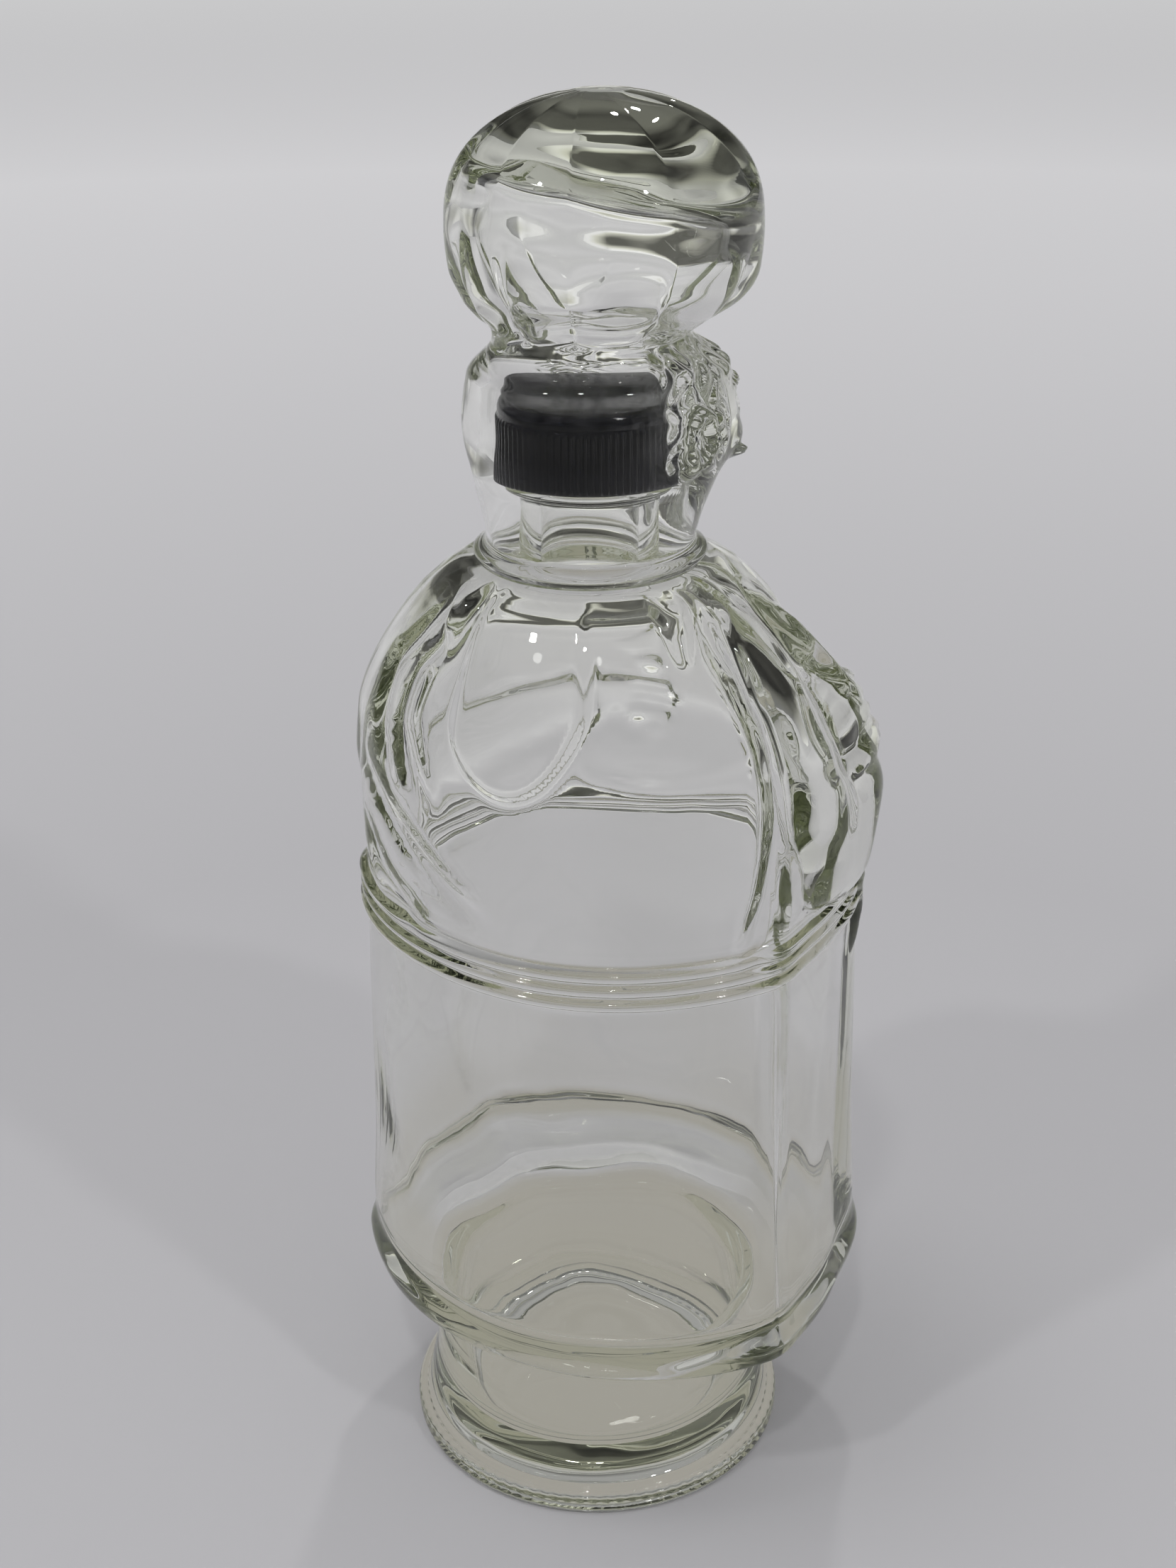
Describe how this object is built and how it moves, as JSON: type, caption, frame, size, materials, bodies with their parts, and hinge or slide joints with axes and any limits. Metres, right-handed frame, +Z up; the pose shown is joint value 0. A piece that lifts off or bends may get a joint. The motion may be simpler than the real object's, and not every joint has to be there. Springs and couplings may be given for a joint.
{
  "type": "figural decanter",
  "caption": "Clear glass decanter in the form of a standing chef, with a ribbed screw cap on its neck and a loose hollow glass head with a chef's hat that drops over the cap",
  "frame": {"origin": "centre of the round foot, in the plane it stands on", "axes": "+Z up along the axis of the neck, the chef faces -Y, and its right hand is towards -X"},
  "size_m": [0.093, 0.0889, 0.2477],
  "materials": {
    "clear_glass": "glossy, smooth pressed glass, clear with a faint grey-green cast",
    "black_plastic": "satin moulded plastic"
  },
  "bodies": {
    "root": {"bottle": "clear_glass", "screw_cap": "black_plastic", "head_cover": "clear_glass"}
  },
  "joints": []
}
